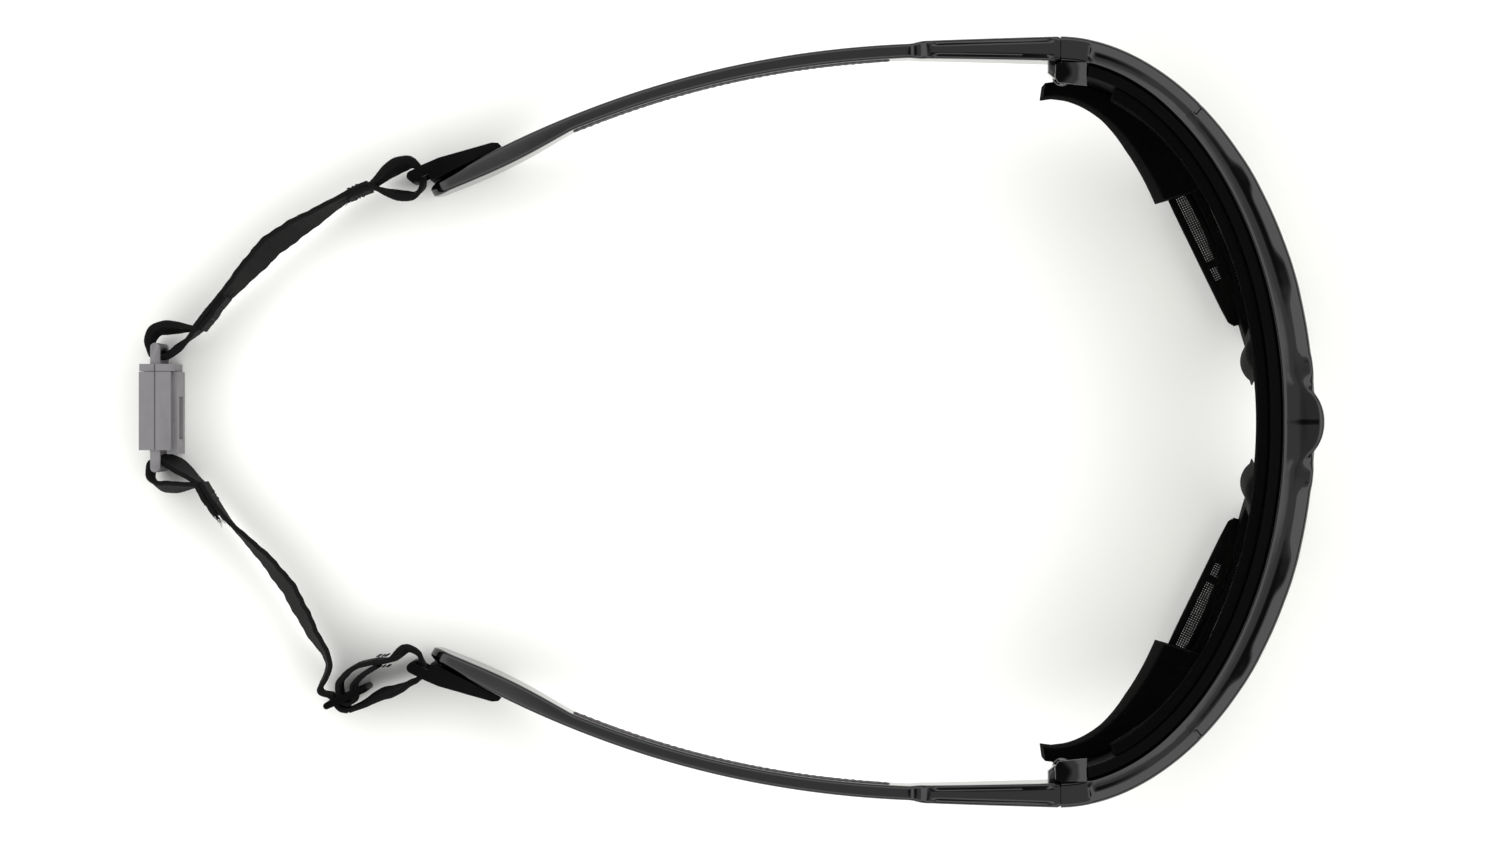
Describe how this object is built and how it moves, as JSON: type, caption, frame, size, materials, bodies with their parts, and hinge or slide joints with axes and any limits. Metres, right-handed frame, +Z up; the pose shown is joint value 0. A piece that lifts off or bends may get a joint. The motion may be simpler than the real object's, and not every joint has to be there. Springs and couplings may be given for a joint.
{
  "type": "strapped safety glasses",
  "caption": "Wraparound foam-padded glasses whose folding temples carry a clip-on webbing retainer strap with a slider and a release buckle.",
  "frame": {"origin": "on the resting surface, under the middle of the overall length and width", "axes": "+Z up, front facing -Y, strap towards +Y, +X to the wearer's left"},
  "size_m": [0.1554, 0.2426, 0.045],
  "materials": {
    "frame_gloss": "gloss",
    "lens_clear": "polished",
    "carrier_matte": "fine texture",
    "foam": "closed-cell foam",
    "nose_rubber": "soft matte",
    "liner_rubber": "soft matte",
    "clip_black": "satin",
    "webbing": "woven",
    "thread": "stitched",
    "buckle_grey": "spark-eroded",
    "screw_steel": "turned"
  },
  "bodies": {
    "front": {"frame_front": "frame_gloss", "lens_left": "lens_clear", "lens_right": "lens_clear", "gasket_carrier": "carrier_matte", "foam_brow": "foam", "foam_side_left": "foam", "foam_side_right": "foam", "vent_plate_left": "carrier_matte", "vent_plate_right": "carrier_matte", "nose_pad_left": "nose_rubber", "nose_pad_right": "nose_rubber", "hinge_screw_left": "screw_steel", "hinge_screw_right": "screw_steel"},
    "left_temple": {"temple_left": "frame_gloss", "temple_liner_left": "liner_rubber", "clip_left": "clip_black"},
    "right_temple": {"temple_right": "frame_gloss", "temple_liner_right": "liner_rubber", "clip_right": "clip_black"},
    "left_strap": {"strap_left": "webbing", "bar_tack_left_clip": "thread", "bar_tack_left_buckle": "thread"},
    "right_loop": {"strap_loop": "webbing", "bar_tack_right_slider": "thread"},
    "right_strap": {"strap_right": "webbing", "bar_tack_right_buckle": "thread", "buckle_socket": "buckle_grey"},
    "strap_slider": {"slider": "clip_black"},
    "plug": {"buckle_plug": "buckle_grey"},
    "latch": {"buckle_latch": "buckle_grey"}
  },
  "joints": [
    {"name": "temple_left_fold", "type": "hinge", "parent": "front", "child": "left_temple", "pos_m": [0.0703, -0.06925, 0.033], "axis": [0, 0, 1], "range_deg": [0, 75], "deforming": ["strap_left", "bar_tack_left_clip", "bar_tack_left_buckle"]},
    {"name": "temple_right_fold", "type": "hinge", "parent": "front", "child": "right_temple", "pos_m": [-0.0703, -0.06925, 0.033], "axis": [0, 0, 1], "range_deg": [-75, 0], "deforming": ["strap_right", "strap_loop", "bar_tack_right_buckle", "bar_tack_right_slider"]},
    {"name": "strap_left_swivel", "type": "hinge", "parent": "left_temple", "child": "left_strap", "pos_m": [0.051, 0.06426, 0.007], "axis": [0, 0, 1], "range_deg": [-150, 0]},
    {"name": "strap_right_swivel", "type": "hinge", "parent": "right_temple", "child": "right_loop", "pos_m": [-0.051, 0.06426, 0.007], "axis": [0, 0, 1], "range_deg": [0, 115]},
    {"name": "slider_adjust", "type": "slide", "parent": "right_loop", "child": "strap_slider", "axis": [-0.4075, 0.9132, 0], "range_m": [-0.002, 0.006]},
    {"name": "strap_right_bend", "type": "hinge", "parent": "strap_slider", "child": "right_strap", "pos_m": [-0.0572, 0.07815, 0.007], "axis": [0, 0, 1], "range_deg": [0, 62]},
    {"name": "buckle_release", "type": "slide", "parent": "right_strap", "child": "plug", "axis": [1, 0, 0], "range_m": [0, 0.0055]},
    {"name": "buckle_latch_press", "type": "slide", "parent": "plug", "child": "latch", "axis": [0, 1, 0], "range_m": [0, 0.0007], "stiffness_N_per_m": 400}
  ],
  "couplings": [
    {"joint": "strap_left_swivel", "follows": "temple_left_fold", "ratio": -2},
    {"joint": "strap_right_swivel", "follows": "temple_right_fold", "ratio": -1.5},
    {"joint": "strap_right_bend", "follows": "temple_right_fold", "ratio": -0.8}
  ]
}
